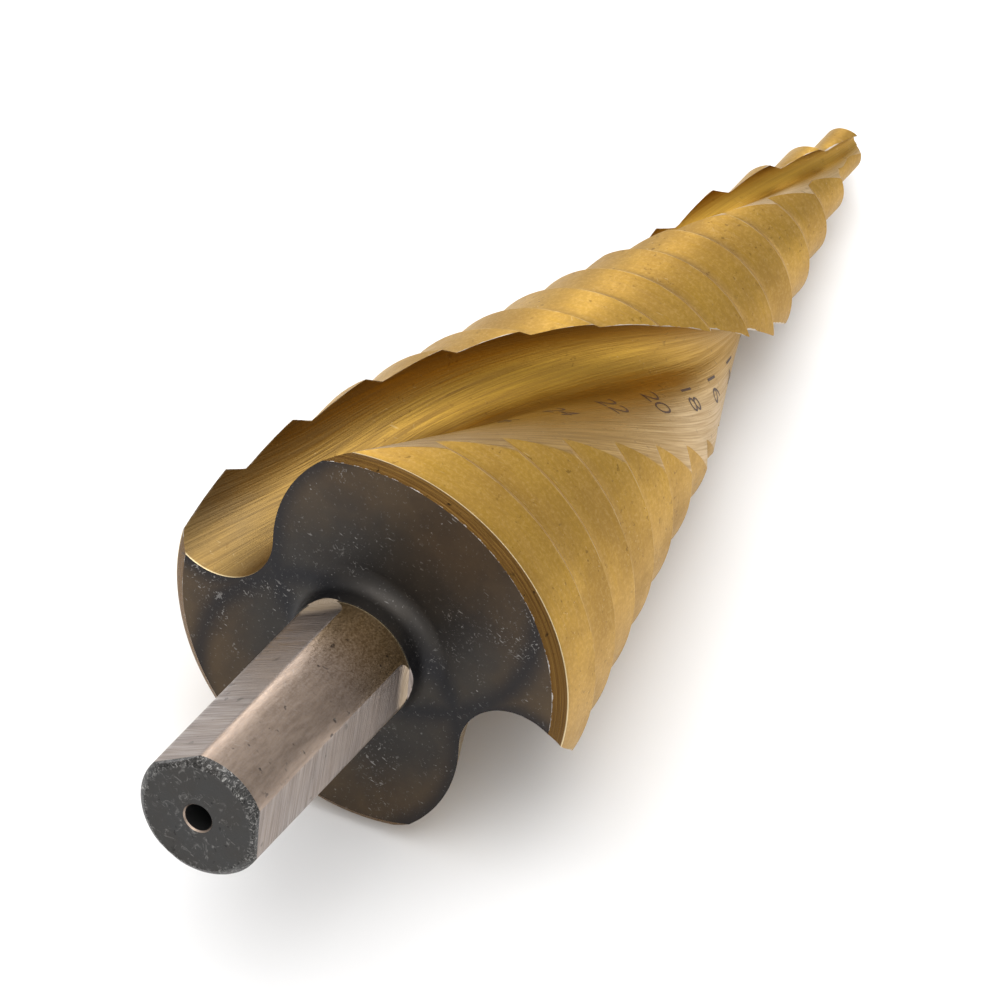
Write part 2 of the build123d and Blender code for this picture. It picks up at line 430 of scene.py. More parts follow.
class Skin:
    """Grids of points with their own UV maps and finishes, gathered into one mesh."""

    def __init__(self):
        self.points, self.faces, self.surface, self.place, self.finish, self.count = [], [], [], [], [], 0

    def take(self, points, faces, surface, place, finish):
        """Adds points, an array of faces that counts them from zero, both UV maps by the faces' corners and
        the faces' finishes."""
        self.faces += (faces + self.count).tolist()
        self.count += len(points)
        self.points.append(points)
        self.surface.append(surface)
        self.place.append(place)
        self.finish.append(finish)

    def grid(self, points, finish, surface, flip=False):
        """Joins a grid's neighbours into four-sided faces. The first UV map holds the given lengths on the
        surface in centimetres, and the second the shares across and along the grid."""
        rows, columns = points.shape[:2]
        shares = np.stack(np.meshgrid(np.linspace(0, 1, columns), np.linspace(0, 1, rows)), axis=-1)

        def by_corner(values):
            """The values at the four corners of each face."""
            corners = [values[:-1, :-1], values[:-1, 1:], values[1:, 1:], values[1:, :-1]]
            return np.stack(corners[::-1] if flip else corners, axis=2)

        faces = by_corner(np.arange(rows * columns).reshape(rows, columns)).reshape(-1, 4)
        lengths, shares = by_corner(surface / CM).reshape(-1, 2), by_corner(shares).reshape(-1, 2)
        finishes = np.broadcast_to(finish, (rows - 1, columns - 1)).reshape(-1)
        self.take(points.reshape(-1, 3), faces, lengths, shares, finishes)

    def plate(self, outline, inner, finish):
        """Fills the level space between an outline and an inner ring with triangles that face down."""
        rings = np.concatenate([outline, inner])
        faces = np.array(tessellate_polygon([outline.tolist(), inner.tolist()]))
        a, b, c = (rings[faces[:, corner]] for corner in range(3))
        up = np.cross(b - a, c - a)[:, 2:] > 0
        faces = np.where(up, faces[:, ::-1], faces)
        flat = rings[faces.reshape(-1)][:, :2] / CM
        self.take(rings, faces, flat, flat, np.full(len(faces), finish))

    def lid(self, outline, finish):
        """Closes a tiny outline with one face, whose UV maps are nearly a point."""
        flat = outline[:, :2]
        self.take(outline, np.arange(len(outline))[None, :], flat, flat, np.array([finish]))

    def build(self, name, materials, lay):
        """Lays the points down, merges the seams, marks the sharp edges and returns the object."""
        mesh = bpy.data.meshes.new(name)
        mesh.from_pydata(lay(np.concatenate(self.points)).tolist(), [], self.faces)
        for title, parts in (("surface", self.surface), ("place", self.place)):
            values = np.concatenate(parts).astype(np.float32)
            mesh.uv_layers.new(name=title).data.foreach_set("uv", values.ravel())
        mesh.polygons.foreach_set("material_index", np.concatenate(self.finish).astype(np.int32))
        for material in materials:
            mesh.materials.append(material)
        draft = bmesh.new()
        draft.from_mesh(mesh)
        bmesh.ops.remove_doubles(draft, verts=draft.verts, dist=SEAM_GAP)
        bmesh.ops.dissolve_degenerate(draft, edges=draft.edges, dist=SHORTEST_EDGE)
        draft.to_mesh(mesh)
        draft.free()
        mesh.shade_smooth()
        mesh.set_sharp_from_angle(angle=SHARP_ANGLE)
        piece = bpy.data.objects.new(name, mesh)
        bpy.context.scene.collection.objects.link(piece)
        return piece


def lengths_across(points):
    """Distance along each ring from its first column, as running sums of the gaps between neighbours."""
    gaps = np.linalg.norm(np.diff(points, axis=1), axis=2)
    return np.concatenate([np.zeros((len(points), 1)), np.cumsum(gaps, axis=1)], axis=1)


def unrolled(points, across):
    """Lengths on the surface: the given distance across each ring, and the height."""
    return np.stack([across, points[..., 2]], axis=-1)


def lay_down(points):
    """Turns upright points about Y by 90 degrees and the tilt, and moves the rim's centre to the seat."""
    rest = bpy.context.scene.drill_rest
    turn = math.pi / 2 + rest.tilt
    x, y, z = points.T
    ahead, up = x * math.cos(turn) + z * math.sin(turn), z * math.cos(turn) - x * math.sin(turn)
    return np.stack([ahead, y, up], axis=1) + np.array(rest.seat)


def shank_rings(drill, shank):
    """The shank as a profile of radii carried round the axis, in parts that lie beside each other: a flat,
    then the round band after it, and so on. Each flat is a plane at its own distance from the axis, which
    grows along the wheel's run-out, and a column of points follows each of its two borders. Returns each
    part's points and the finishes of its rows of faces."""
    rear = -drill.rear_chamfer_length
    radius = shank.diameter / 2
    neck = radius + shank.neck_ledge
    end = rear - shank.length
    ground_end = rear - shank.neck_length
    leave = shank.flat_runout
    reach = math.sqrt(leave**2 - (leave - shank.flat_depth) ** 2)
    flat_end = ground_end + shank.flat_overrun - reach
    chamfer = np.linspace(0, 1, CROWN_ROWS + 1)
    crown = shank.chamfer_crown * 4 * chamfer * (1 - chamfer) / math.sqrt(2)
    fillet = np.linspace(0, math.pi / 2, 14)
    root = shank.root_fillet
    stretches = [
        (end + shank.end_chamfer * chamfer - crown, radius + shank.end_chamfer * (chamfer - 1) + crown),
        (np.linspace(end + shank.end_chamfer, flat_end, 24)[1:], radius),
        (np.linspace(flat_end, ground_end, 20)[1:], radius),
        (ground_end + np.array([1, 6, 12, 18]) * LEDGE_SLOPE, neck),
        (rear - root * (1 - np.sin(fillet)), neck + root * (1 - np.cos(fillet))),
    ]
    heights = np.concatenate([high for high, wide in stretches])
    profile = np.concatenate([np.broadcast_to(wide, high.shape) for high, wide in stretches])
    beyond = np.clip(heights - flat_end, 0, leave)
    plane = radius - shank.flat_depth + leave - np.sqrt(leave**2 - beyond**2)
    border = np.maximum(np.arccos(np.clip(plane / profile, -1, 1)), LEAST_BORDER)[:, None]
    has_flat = (plane < profile * math.cos(LEAST_BORDER)) & (heights <= rear - root)
    on_band = np.where(heights[:-1] >= ground_end, REAR, SHANK)
    on_flat = np.where(has_flat[:-1], FLAT, on_band)
    on_band[:CROWN_ROWS], on_flat[:CROWN_ROWS] = END, END
    sector = 2 * math.pi / shank.flat_count
    across = border * np.linspace(-1, 1, FLAT_COLUMNS)
    level = np.where(has_flat[:, None], plane[:, None] / np.cos(across), profile[:, None])
    level = np.minimum(level, profile[:, None])
    rest = border + (sector - 2 * border) * np.linspace(0, 1, BAND_COLUMNS)
    parts = []
    for flat in range(shank.flat_count):
        middle = drill.edge_at_rest + shank.flat_from_edge + flat * sector
        for radii, turns, finish in ((level, across, on_flat), (profile[:, None], rest, on_band)):
            parts.append((around_axis(radii, middle + turns, heights[:, None]), finish[:, None]))
    return parts


def centre_hole(sizes, shank, end):
    """Rings of the centre hole in the end face: a small rounding at its mouth, the wall, and a cone at the
    bottom. Returns the points and the finishes of the rows of faces."""
    hole = shank.hole_diameter / 2
    drop = shank.hole_depth + hole / math.tan(sizes.point_angle / 2)
    radii = np.array([hole + HOLE_LIP, hole + 0.6 * HOLE_LIP, hole, hole, hole, hole, HOLE_BOTTOM])
    depths = [0, 0.5 * HOLE_LIP, 1.2 * HOLE_LIP, 0.2 * drop, 0.5 * drop, shank.hole_depth, drop]
    turns = np.linspace(0, 2 * math.pi, HOLE_COLUMNS)
    wall = around_axis(radii[:, None], turns, (end + np.array(depths))[:, None])
    return wall, np.where(np.arange(len(wall) - 1) < 2, SHANK, HOLE)[:, None]


def make_drill_mesh(context):
    """Puts the lands, flutes, chamfer, rear face, shank, end face and centre hole into one closed skin."""
    sizes, shank = context.scene.drill_sizes, context.scene.shank_sizes
    skin = Skin()
    flute, land, flute_across = drill_rings(sizes)
    across = lengths_across(land)
    finish = np.full(len(land) - 1, LAND)
    finish[:CHAMFER_ROWS] = CHAMFER
    for turn in (1.0, HALF_TURN):
        skin.grid(flute * turn, FLUTE, unrolled(flute, flute_across))
        skin.grid(land * turn, finish[:, None], unrolled(land, across[:, -1:] - across))
    rear = -sizes.rear_chamfer_length
    parts = shank_rings(sizes, shank)
    for points, finish in parts:
        on_neck = points[..., 2:] > rear - shank.neck_length + 0.5 * LEDGE_SLOPE
        surface = np.where(on_neck, points[..., :2], unrolled(points, lengths_across(points)))
        skin.grid(points, finish, surface)
    wall, wall_finish = centre_hole(sizes, shank, rear - shank.length)
    section = np.concatenate([flute[0], land[0][1:-1]])
    root = np.concatenate([points[-1][:-1] for points, finish in parts])
    skin.plate(np.concatenate([section, section * HALF_TURN]), root, REAR)
    rim = np.concatenate([points[0][:-1] for points, finish in parts])
    skin.plate(rim, wall[0][:-1], END)
    skin.grid(wall, wall_finish, unrolled(wall, lengths_across(wall)), flip=True)
    skin.lid(wall[-1][:-1], HOLE)
    tip = np.concatenate([flute[-1][:-1], land[-1][:-1]])
    skin.lid(np.concatenate([tip, tip * HALF_TURN]), LAND)
    return skin


# Finishes


class Tree:
    """A node tree with short calls for adding nodes and joining sockets."""

    def __init__(self, tree):
        self.tree = tree

    def add(self, kind, values=None, **options):
        """Adds a node, sets its options, fills its sockets and returns its outputs."""
        node = self.tree.nodes.new(kind)
        for name, value in options.items():
            setattr(node, name, value)
        for socket, value in (values or {}).items():
            self.put(node.inputs[socket], value)
        return node.outputs

    def put(self, socket, value):
        if isinstance(value, bpy.types.NodeSocket):
            self.tree.links.new(value, socket)
        else:
            socket.default_value = value

    def math(self, operation, *values):
        return self.add("ShaderNodeMath", dict(enumerate(values)), operation=operation)[0]

    def plus(self, first, second):
        return self.math("ADD", first, second)

    def minus(self, first, second):
        return self.math("SUBTRACT", first, second)

    def times(self, first, second):
        return self.math("MULTIPLY", first, second)

    def ramp(self, value, low, high, start=0.0, end=1.0):
        """The value from low to high, eased and carried from start to end."""
        values = {0: value, 1: low, 2: high, 3: start, 4: end}
        return self.add("ShaderNodeMapRange", values, interpolation_type="SMOOTHSTEP")[0]

    def mix(self, share, first, second):
        values = {"Factor": share}
        for socket, value in ((6, first), (7, second)):
            values[socket] = value if isinstance(value, bpy.types.NodeSocket) else (*value, 1)
        return self.add("ShaderNodeMix", values, data_type="RGBA")[2]

    def noise(self, vector, scale, detail, rough=0.5, distortion=0.0):
        values = {"Vector": vector, "Scale": scale, "Detail": detail}
        values |= {"Roughness": rough, "Distortion": distortion}
        return self.add("ShaderNodeTexNoise", values)[0]

    def stretched(self, vector, size):
        return self.add("ShaderNodeVectorMath", {0: vector, 1: size}, operation="MULTIPLY")[0]

    def distance(self, vector, centre=(0, 0, 0)):
        return self.add("ShaderNodeVectorMath", {0: vector, 1: centre}, operation="DISTANCE")["Value"]


def shader_group(name, vectors, values, results):
    """An empty shader node group with its named inputs, which are vectors and values, and its results;
    returns it with its tree and the sockets inside it."""
    group = bpy.data.node_groups.new(name, "ShaderNodeTree")
    for socket in vectors:
        group.interface.new_socket(socket, in_out="INPUT", socket_type="NodeSocketVector")
    for side, sockets in (("INPUT", values), ("OUTPUT", results)):
        for socket in sockets:
            group.interface.new_socket(socket, in_out=side, socket_type="NodeSocketFloat")
    given, out = group.nodes.new("NodeGroupInput").outputs, group.nodes.new("NodeGroupOutput").inputs
    return group, Tree(group), given, out


def grinding_group():
    """Fine parallel lines: noise squeezed along one direction, in two sizes, with rare deep lines."""
    vectors = ("Vector", "Fine stretch", "Coarse stretch")
    group, tree, given, out = shader_group("grinding_lines", vectors, (), ("Lines", "Deep"))
    fine = tree.noise(tree.stretched(given["Vector"], given["Fine stretch"]), 1.0, 4.0, 0.6)
    coarse = tree.noise(tree.stretched(given["Vector"], given["Coarse stretch"]), 1.0, 3.0, 0.55)
    both = tree.plus(tree.times(fine, 0.6), tree.times(coarse, 0.4))
    tree.put(out["Lines"], tree.ramp(both, 0.36, 0.64))
    tree.put(out["Deep"], tree.ramp(fine, 0.66, 0.74))
    return group


def wear_group():
    """Soft blotches, dark flecks and short straight scratches, all from noise in the object's own place."""
    values = ("Blotch scale", "Fleck scale")
    group, tree, given, out = shader_group("wear", ("Vector",), values, ("Blotches", "Flecks", "Scratches"))
    vector = given["Vector"]
    tree.put(out["Blotches"], tree.ramp(tree.noise(vector, given["Blotch scale"], 4.0, 0.6), 0.32, 0.68))
    fleck = tree.noise(vector, given["Fleck scale"], 2.0, 0.5)
    place = tree.noise(vector, tree.times(given["Blotch scale"], 1.7), 2.0, 0.5)
    tree.put(out["Flecks"], tree.times(tree.ramp(fleck, 0.64, 0.73), tree.ramp(place, 0.40, 0.56)))
    lines = []
    for turn in ((0.5, 0.2, 0.9), (-0.6, 0.7, -0.3)):
        values = {"Vector": vector, "Rotation": turn}
        turned = tree.add("ShaderNodeVectorRotate", values, rotation_type="EULER_XYZ")[0]
        squeezed = tree.noise(tree.stretched(turned, (5200, 600, 5200)), 1.0, 1.0)
        lines.append(tree.ramp(squeezed, 0.70, 0.80))
    tree.put(out["Scratches"], tree.times(tree.math("MAXIMUM", *lines), tree.ramp(place, 0.44, 0.60)))
    return group


def contour_group():
    """Nearness to the flutes' outline on the rear face: the gap between a point's distance from an arc's
    centre and that arc's radius, for both arcs and both flutes."""
    vectors = ("Vector", "Hollow centre", "Full centre")
    values = ("Hollow radius", "Full radius", "Reach")
    group, tree, given, out = shader_group("near_flutes", vectors, values, ("Near",))
    nearest = None
    for place in (given["Vector"], tree.stretched(given["Vector"], (-1, -1, 1))):
        for arc in ("Hollow", "Full"):
            far = tree.distance(place, given[arc + " centre"])
            gap = tree.math("ABSOLUTE", tree.minus(far, given[arc + " radius"]))
            nearest = gap if nearest is None else tree.math("MINIMUM", nearest, gap)
    tree.put(out["Near"], tree.ramp(nearest, 0.0, given["Reach"], 1.0, 0.0))
    return group


class Finish:
    """One procedural metal: its base, laid on colour by colour, its coordinates and its shader."""

    def __init__(self, name, groups, base, metallic=1.0):
        self.material = bpy.data.materials.new(name)
        self.material.use_nodes = True
        self.groups, self.base = groups, base
        self.tree = Tree(self.material.node_tree)
        self.shader = self.material.node_tree.nodes["Principled BSDF"].inputs
        self.shader["Metallic"].default_value = metallic

    @cached_property
    def object(self):
        return self.tree.add("ShaderNodeTexCoord")["Object"]

    @cached_property
    def surface(self):
        return self.tree.add("ShaderNodeUVMap", uv_map="surface")["UV"]

    def part(self, vector, axis):
        return self.tree.add("ShaderNodeSeparateXYZ", {0: vector})[axis]

    def use(self, name, values):
        """Places a shared group with its values and returns its outputs."""
        return self.tree.add("ShaderNodeGroup", values, node_tree=self.groups[name])

    def wear(self, blotches, flecks):
        return self.use("wear", {"Vector": self.object, "Blotch scale": blotches, "Fleck scale": flecks})

    def grinding(self, vector, fine, coarse):
        values = {"Vector": vector, "Fine stretch": (*fine, 1), "Coarse stretch": (*coarse, 1)}
        return self.use("grinding", values)

    def noise(self, scale, detail, rough, distortion=0.0):
        return self.tree.noise(self.object, scale, detail, rough, distortion)

    def lay(self, colour, mask, share=None):
        """Lays a colour over the base, by a mask and a share of it."""
        amount = mask if share is None else self.tree.times(mask, share)
        self.base = self.tree.mix(amount, self.base, colour)

    def done(self, roughness, height=None, strength=0.0, distance=0.0):
        """Feeds the shader with the base, the roughness and bumps, whose distance is in millimetres."""
        base = self.base if isinstance(self.base, bpy.types.NodeSocket) else (*self.base, 1)
        self.tree.put(self.shader["Base Color"], base)
        self.tree.put(self.shader["Roughness"], roughness)
        if height is not None:
            values = {"Height": height, "Strength": strength, "Distance": distance * MM}
            self.tree.put(self.shader["Normal"], self.tree.add("ShaderNodeBump", values)["Normal"])
        return self.material


def plain_material(name, base, metallic, roughness):
    return Finish(name, {}, base, metallic).done(roughness)


def land_finish(groups, sizes, tints):
    """Gold-coloured coating with lines round the drill, painted shade on the risers, a painted highlight
    line at each step's front corner and wear at the edges.
    """
    finish = Finish("coated_land", groups, tints.coat)
    tree, lay = finish.tree, finish.lay
    lines = finish.grinding(finish.surface, (4.0, 80), (0.8, 18))
    wear = finish.wear(170.0, 2300.0)
    lay(tints.coat_shade, wear["Blotches"], 0.75)
    lay(tints.coat_pale, lines["Lines"], 0.12)
    lay(tints.coat_deep, lines["Deep"], 0.35)
    grain = finish.noise(3400.0, 3.0, 0.7)
    lay(tints.coat_brown, tree.ramp(grain, 0.38, 0.66, 0.0, 0.22))
    lay(tints.worn, tree.ramp(grain, 0.50, 0.30, 0.0, 0.07))
    lay(tints.coat_deep, wear["Flecks"], 0.45)
    lay(tints.worn, wear["Scratches"], 0.25)
    climb = tree.minus(finish.part(finish.surface, "Y"), sizes.first_step_length / CM)
    share = tree.math("FRACT", tree.math("DIVIDE", climb, sizes.step_length / CM))
    riser = sizes.riser_length / sizes.step_length
    # Painted shade: each riser between two steps is darkened
    lay(tints.coat_deep, tree.ramp(share, 0.9 * riser, riser, 1.0, 0.0), 0.10)
    # Painted highlight: a thin pale line along each step's front corner, broken up by noise
    corner = tree.ramp(tree.math("ABSOLUTE", tree.minus(share, 0.5)), 0.488, 0.494)
    broken = tree.ramp(finish.noise(700.0, 3.0, 0.6), 0.40, 0.56)
    lay(tints.worn, tree.times(corner, broken), 0.25)
    ragged = tree.times(tree.ramp(finish.noise(420.0, 4.0, 0.7), 0.38, 0.72), 0.022)
    from_edge = finish.part(finish.surface, "X")
    lay(tints.bare_steel, tree.ramp(tree.minus(ragged, from_edge), 0.0, 0.006), 0.7)
    rough = tree.ramp(tree.plus(wear["Blotches"], lines["Lines"]), 0.0, 2.0, 0.40, 0.56)
    relief = tree.plus(tree.times(lines["Lines"], 0.6), wear["Scratches"])
    return finish.done(rough, relief, 0.30, 0.02)


def flute_finish(groups, tints):
    """Coating over lengthwise grinding lines: brown painted shade by the cutting edge, gold, then pale
    towards the heel, and dull at the rear, where the lines slant across the flute."""
    finish = Finish("coated_flute", groups, tints.coat)
    tree, lay = finish.tree, finish.lay
    section, along = finish.part(finish.surface, "X"), finish.part(finish.surface, "Y")
    aside = tree.times(tree.math("SMOOTH_MIN", along, 0.9, 0.6), 0.30)
    slanted = tree.add("ShaderNodeCombineXYZ", {0: tree.minus(section, aside), 1: along})[0]
    lines = finish.grinding(slanted, (70, 1.6), (18, 0.7))
    wear = finish.wear(140.0, 2000.0)
    # Painted shade: darker brown along the cutting edge's side of each flute, fading out over the first 3
    # mm
    lay(tints.coat_deep, tree.ramp(section, 0.0, 0.30, 0.65, 0.0))
    lay(tints.coat_pale, tree.ramp(section, 0.85, 1.35), tree.ramp(along, 1.4, 4.4, 0.10, 1.0))
    lay(tints.coat_brown, lines["Lines"], tree.ramp(along, 0.5, 4.0, 0.95, 0.35))
    lay(tints.coat_dull, tree.ramp(along, 0.0, 2.6, 0.82, 0.0), tree.ramp(section, 0.85, 1.25, 1.0, 0.15))
    lay(tints.coat_deep, lines["Deep"], 0.55)
    lay(tints.coat_shade, wear["Blotches"], 0.25)
    lay(tints.coat_deep, wear["Flecks"], 0.35)
    lay(tints.worn, wear["Scratches"], 0.15)
    place = tree.add("ShaderNodeUVMap", uv_map="place")["UV"]
    edge = tree.ramp(finish.part(place, "X"), 0.0, 0.008, 1.0, 0.0)
    broken = tree.ramp(finish.noise(900.0, 3.0, 0.6), 0.42, 0.58)
    lay(tints.bare_steel, tree.times(edge, broken), 0.8)
    lay(tints.worn, tree.ramp(along, -0.080, -0.068, 1.0, 0.0), 0.75)
    return finish.done(tree.ramp(lines["Lines"], 0.0, 1.0, 0.36, 0.50), lines["Lines"], 0.45, 0.03)


def chamfer_finish(groups, tints):
    """Dark brown with turned grooves, bright where the land begins and chipped on the inner edge."""
    finish = Finish("rear_chamfer", groups, tints.coat_deep)
    tree, lay = finish.tree, finish.lay
    lines = finish.grinding(finish.surface, (0.8, 330), (0.5, 110))
    wear = finish.wear(500.0, 1600.0)
    lay(tints.coat_brown, lines["Lines"])
    lay(tints.coat, lines["Deep"], 0.7)
    lay(tints.pit_brown, wear["Flecks"], 0.9)
    height = finish.part(finish.surface, "Y")
    lay(tints.worn, tree.ramp(height, -0.010, -0.003), 0.85)
    ragged = tree.times(finish.noise(1300.0, 4.0, 0.7), 0.032)
    past_rim = tree.minus(tree.minus(ragged, height), 0.094)
    lay(tints.bare_steel, tree.ramp(past_rim, 0.0, 0.004), 0.8)
    return finish.done(0.4, lines["Lines"], 0.8, 0.06)


def near_flutes(finish, sizes):
    """Nearness to the flutes' outline, with the arcs' centres and radii at the rear face in centimetres."""
    rear = -sizes.rear_chamfer_length
    section = FluteSection(sizes, opening_at(sizes, np.array([rear])))
    cone = cone_radius(sizes, rear) / CM
    turn = edge_angle(sizes, rear)
    rotation = np.array([[math.cos(turn), -math.sin(turn)], [math.sin(turn), math.cos(turn)]])
    hollow, full = rotation @ section.centre * cone, rotation @ section.full_centre[0] * cone
    values = {"Vector": finish.surface, "Reach": 0.16}
    values |= {"Hollow centre": (*hollow, 0), "Hollow radius": section.hollow * cone}
    values |= {"Full centre": (*full, 0), "Full radius": section.full * cone}
    return finish.use("contour", values)["Near"]


def rear_finish(groups, sizes, tints):
    """Heat-stained steel: mottled brown and grey, blue-black beside the flutes, with scratch clusters."""
    finish = Finish("rear_face", groups, tints.rear_grey, 0.85)
    tree, lay = finish.tree, finish.lay
    wear = finish.wear(220.0, 1200.0)
    outward = tree.times(tree.ramp(tree.distance(finish.surface), 0.6, 1.55), 0.7)
    patches = finish.noise(120.0, 4.0, 0.6)
    stained = tree.plus(outward, tree.minus(patches, 0.5))
    lay(tints.rear_brown, tree.ramp(stained, 0.0, 0.75))
    lay(tints.rear_dark, wear["Blotches"], 0.35)
    lay(tints.rear_dark, near_flutes(finish, sizes), 0.8)
    lay(tints.bare_steel, tree.ramp(finish.noise(3500.0, 3.0, 0.7), 0.60, 0.75, 0.0, 0.14))
    cluster = tree.ramp(finish.noise(210.0, 2.0, 0.5), 0.55, 0.68)
    speck = tree.times(tree.ramp(finish.noise(2600.0, 2.0, 0.5, 1.5), 0.62, 0.70), cluster)
    scratches = tree.times(wear["Scratches"], 0.28)
    lay(tints.bare_steel, tree.math("MAXIMUM", scratches, tree.times(speck, 0.25)))
    return finish.done(tree.ramp(patches, 0.3, 0.7, 0.36, 0.52), wear["Blotches"], 0.15, 0.05)


def round_finish(groups, tints):
    """Satin brown-grey steel with grain along the shank, a golden tint by the root and a painted highlight
    line where the ground shank ends.
    """
    finish = Finish("shank_round", groups, tints.shank_steel)
    tree, lay = finish.tree, finish.lay
    wear = finish.wear(320.0, 1400.0)
    lines = finish.grinding(finish.surface, (30, 6), (7, 1.6))
    grain = finish.noise(5200.0, 3.0, 0.7)
    height = finish.part(finish.surface, "Y")
    lay(tints.shank_shade, lines["Lines"], 0.5)
    lay(tints.flat_steel, tree.ramp(grain, 0.40, 0.70, 0.0, 0.35))
    lay(tints.coat, tree.ramp(height, -1.1, -0.4, 0.0, 0.40))
    lay(tints.rear_dark, wear["Flecks"], 0.7)
    lay(tints.bare_steel, wear["Scratches"], 0.2)
    # Painted highlight: a thin pale band at the end of the ground shank, by the neck's ledge
    lay(tints.worn, tree.ramp(height, -0.345, -0.333, 0.0, 0.7))
    return finish.done(tree.ramp(grain, 0.3, 0.7, 0.28, 0.44), grain, 0.25, 0.02)


def flat_finish(groups, tints):
    """Pinkish grey steel with slanted lines left by the grinding wheel across the flats."""
    finish = Finish("shank_flat", groups, tints.flat_steel)
    tree, lay = finish.tree, finish.lay
    values = {"Vector": finish.surface, "Angle": math.radians(9)}
    slanted = tree.add("ShaderNodeVectorRotate", values, rotation_type="Z_AXIS")[0]
    lines = finish.grinding(slanted, (2.2, 62), (1.0, 20))
    wear = finish.wear(260.0, 1300.0)
    lay(tints.flat_shade, lines["Lines"], 0.72)
    lay(tints.rear_grey, lines["Deep"], 0.80)
    lay(tints.shank_steel, wear["Blotches"], 0.3)
    lay(tints.rear_grey, wear["Flecks"], 0.5)
    lay(tints.coat_pale, tree.ramp(finish.part(finish.surface, "Y"), -0.45, -0.36, 0.0, 0.35))
    return finish.done(tree.ramp(lines["Lines"], 0.0, 1.0, 0.30, 0.46), lines["Lines"], 0.5, 0.03)


def end_finish(groups, tints):
    """Charcoal-coloured end face with fine scratches and a battered rim."""
    finish = Finish("shank_end", groups, tints.end_steel, 0.8)
    tree, lay = finish.tree, finish.lay
    wear = finish.wear(420.0, 1500.0)
    spread = finish.noise(1100.0, 4.0, 0.7, 1.2)
    lay(tints.rear_grey, wear["Blotches"], 0.5)
    lay(tints.bare_steel, tree.ramp(spread, 0.56, 0.72, 0.0, 0.16))
    lay(tints.bare_steel, wear["Scratches"], 0.15)
    ragged = tree.times(finish.noise(900.0, 3.0, 0.7), 0.06)
    rim = tree.ramp(tree.plus(tree.distance(finish.surface), ragged), 0.44, 0.46)
    battered = finish.noise(2400.0, 4.0, 0.7, 2.0)
    lay(tints.bare_steel, rim, tree.ramp(battered, 0.50, 0.70, 0.0, 0.5))
    lay(tints.pit_black, rim, tree.ramp(battered, 0.46, 0.34, 0.0, 0.8))
    lay(tints.pit_black, wear["Flecks"], 0.8)
    return finish.done(0.45, tree.plus(spread, tree.times(rim, battered)), 0.5, 0.06)


def finishes(context):
    """The skin's materials, in the order of the numbers from LAND to HOLE."""
    tints, sizes = context.scene.drill_finishes, context.scene.drill_sizes
    groups = {"grinding": grinding_group(), "wear": wear_group(), "contour": contour_group()}
    return [
        land_finish(groups, sizes, tints),
        flute_finish(groups, tints),
        chamfer_finish(groups, tints),
        rear_finish(groups, sizes, tints),
        round_finish(groups, tints),
        flat_finish(groups, tints),
        end_finish(groups, tints),
        plain_material("centre_hole", tints.hole_dark, 0.5, 0.5),
    ]


# Size marks


def mark_points(sizes, letters, height, along):
    """Lays flat letters on a flute. At the mark's place, one unit runs along the flute and the other across
    it, towards the heel; the letters' x is measured across and their y along, and both are turned into
    shares of the section and heights. The points stand a hair's breadth off the surface."""
    section = FluteSection(sizes, opening_at(sizes, np.array([height])))

    def surface(heights, alongs):
        radius, angles = section.at(alongs[None, :])
        turns = edge_angle(sizes, heights) + angles[0]
        return around_axis(cone_radius(sizes, heights) * radius[0], turns, heights)

    step = np.array([0.0, TINY_STEP])
    here = surface(np.full(2, height), np.full(2, along))
    up = (surface(height + step, np.full(2, along))[1] - here[0]) / TINY_STEP
    aside = (surface(np.full(2, height), along + step)[1] - here[0]) / TINY_STEP
    stretch = np.linalg.norm(up)
    slant = aside @ up / stretch
    wide = math.sqrt(aside @ aside - slant**2)
    heights = height + (letters[:, 1] - letters[:, 0] * slant / wide) / stretch
    normal = np.cross(aside, up)
    normal = normal / np.linalg.norm(normal)
    return surface(heights, along + letters[:, 0] / wide) + normal * MARK_LIFT


def flat_digits(number, marks):
    """A number's digits as level points about their middle, and faces that are short enough to bend."""
    text = bpy.data.curves.new("digits", "FONT")
    text.body = str(number)
    text.size = TYPE_SIZE * marks.digit_height
    text.align_x, text.align_y = "CENTER", "CENTER"
    text.offset = -TYPE_THINNING * marks.digit_height
    text.space_character = TYPE_SPACING
    text.resolution_u = 4
    holder = bpy.data.objects.new("digits", text)
    bpy.context.scene.collection.objects.link(holder)
    mesh = bpy.data.meshes.new_from_object(holder)
    bpy.data.objects.remove(holder)
    draft = bmesh.new()
    draft.from_mesh(mesh)
    bmesh.ops.triangulate(draft, faces=draft.faces)
    long_edges = [edge for edge in draft.edges if edge.calc_length() > LONGEST_EDGE * marks.digit_height]
    bmesh.ops.subdivide_edges(draft, edges=long_edges, cuts=3, use_grid_fill=True)
    bmesh.ops.triangulate(draft, faces=draft.faces)
    draft.to_mesh(mesh)
    draft.free()
    letters = np.empty(3 * len(mesh.vertices))
    mesh.vertices.foreach_get("co", letters)
    faces = [list(face.vertices) for face in mesh.polygons]
    bpy.data.meshes.remove(mesh)
    return letters.reshape(-1, 3)[:, :2] * (marks.widening, 1), faces


# Operators


class MakeDrill(bpy.types.Operator):
    """Make the drill's ground skin, from the point to the shank's end"""

    bl_idname = "step_drill.make_drill"
    bl_label = "Drill"

    def execute(self, context):
        skin = make_drill_mesh(context)
        piece = skin.build("drill_skin", finishes(context), lay_down)
        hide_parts("step_drill")
        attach(piece, "root")
        return {"FINISHED"}


